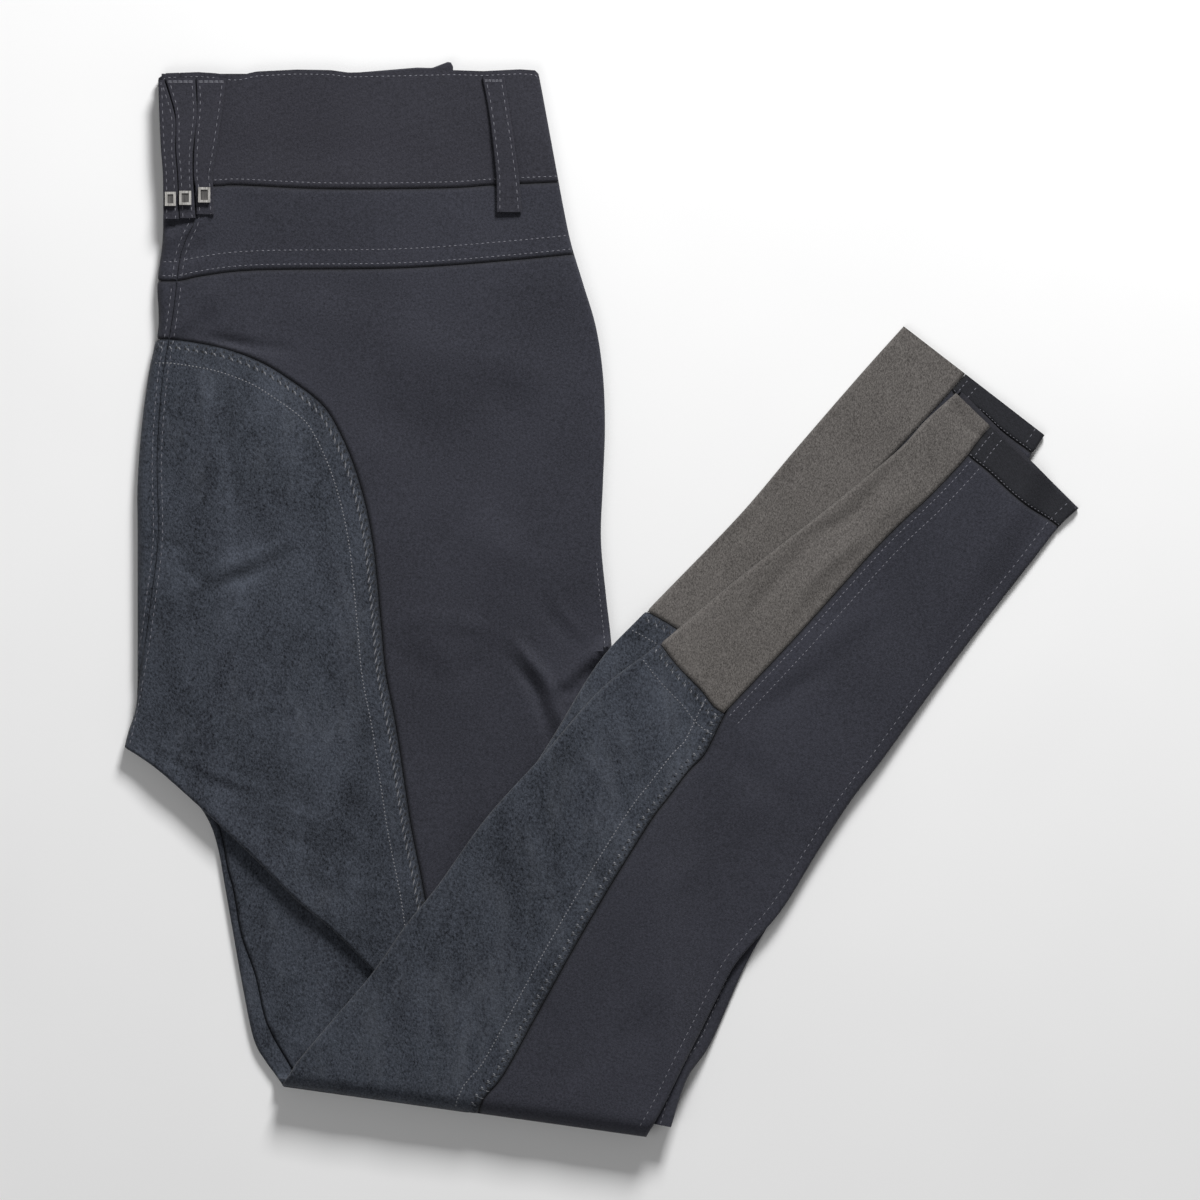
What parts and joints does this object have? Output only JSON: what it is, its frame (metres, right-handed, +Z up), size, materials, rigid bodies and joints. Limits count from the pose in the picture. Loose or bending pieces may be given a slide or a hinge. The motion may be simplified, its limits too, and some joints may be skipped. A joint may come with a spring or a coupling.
{
  "type": "riding breeches",
  "caption": "Full-seat riding breeches in slate softshell and suede, folded in half along the centre back and laid flat with both lower legs folded up at the knee.",
  "frame": {"origin": "middle of the folded garment's outline, on the floor it lies on", "axes": "+Z up from the floor, +Y towards the waist, +X towards the side seams and the hems"},
  "size_m": [0.4764, 0.5378, 0.0183],
  "materials": {
    "softshell": "matt stretch softshell, fine twill, slate grey",
    "waistband": "matt stretch softshell, doubled and topstitched",
    "suede": "brushed suede, mottled nap, blue grey",
    "elastic": "heathered taupe stretch knit",
    "hem_band": "darker softshell band, double stitched",
    "clasp_metal": "brushed square clasp with a dark sunk middle"
  },
  "bodies": {
    "root": {"waistband_back_right": "waistband", "waistband_back_left": "waistband", "waistband_front": "waistband", "yoke_right": "softshell", "yoke_left": "softshell", "back_panel_right": "softshell", "back_panel_left": "softshell", "seat_patch_right": "suede", "seat_patch_left": "suede", "inner_thigh_left": "suede", "shin_suede_left": "suede", "shin_panel_left": "softshell", "calf_panel_left": "elastic", "hem_band_left": "hem_band", "shin_suede_right": "suede", "shin_panel_right": "softshell", "calf_panel_right": "elastic", "hem_band_right": "hem_band", "hidden_layers_upper": "softshell", "hidden_layers_lower": "softshell", "belt_loop_back_1": "waistband", "belt_loop_back_2": "waistband", "belt_loop_back_3": "waistband", "belt_loop_side": "waistband", "clasp_1": "clasp_metal", "clasp_2": "clasp_metal", "clasp_3": "clasp_metal"}
  },
  "joints": []
}
